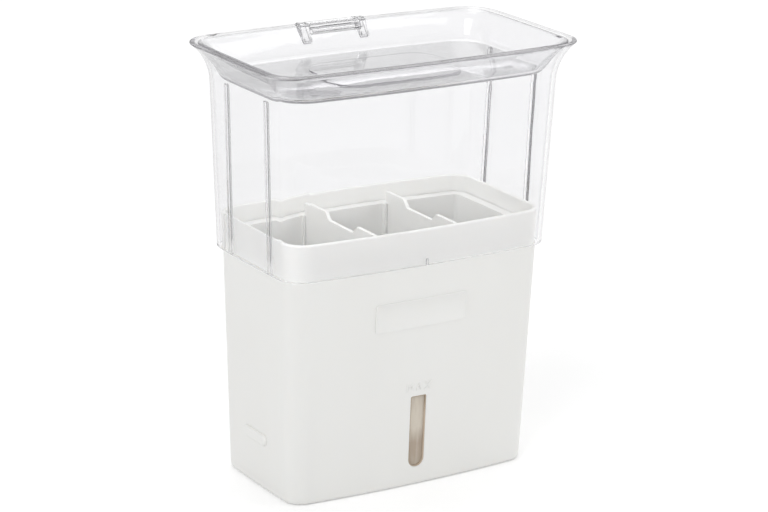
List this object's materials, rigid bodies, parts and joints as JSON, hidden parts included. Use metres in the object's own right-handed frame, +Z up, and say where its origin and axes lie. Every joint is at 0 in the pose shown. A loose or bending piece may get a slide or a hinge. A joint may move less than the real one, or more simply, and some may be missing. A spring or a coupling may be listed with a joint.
{
  "type": "herb keeper",
  "caption": "Upright herb keeper: white water reservoir with a level window, divided stem basket, clear lift-off hood and clear hinged tray lid.",
  "frame": {"origin": "middle of the reservoir's flat underside", "axes": "+Z up; -Y towards the front, where the window is; +X to the right seen from the front"},
  "size_m": [0.185, 0.1112, 0.23],
  "materials": {
    "white_plastic": "satin moulded",
    "clear_plastic": "polished clear",
    "tinted_plastic": "translucent grey-brown"
  },
  "bodies": {
    "base": {"base_reservoir": "white_plastic", "water_window": "tinted_plastic"},
    "basket": {"inner_basket": "white_plastic"},
    "divider_left": {"divider_left": "white_plastic"},
    "divider_right": {"divider_right": "white_plastic"},
    "hood": {"hood": "clear_plastic", "hinge_pin": "clear_plastic"},
    "lid": {"lid": "clear_plastic"}
  },
  "joints": [
    {"name": "hood_lift", "type": "slide", "parent": "base", "child": "hood", "axis": [0, 0, 1], "range_m": [0, 0.06]},
    {"name": "lid_hinge", "type": "hinge", "parent": "hood", "child": "lid", "pos_m": [0, 0.055, 0.2274], "axis": [-1, 0, 0], "range_deg": [0, 100]},
    {"name": "basket_lift", "type": "slide", "parent": "base", "child": "basket", "axis": [0, 0, 1], "range_m": [0, 0.035]},
    {"name": "divider_left_lift", "type": "slide", "parent": "basket", "child": "divider_left", "axis": [0, 0, 1], "range_m": [0, 0.033]},
    {"name": "divider_right_lift", "type": "slide", "parent": "basket", "child": "divider_right", "axis": [0, 0, 1], "range_m": [0, 0.033]}
  ]
}
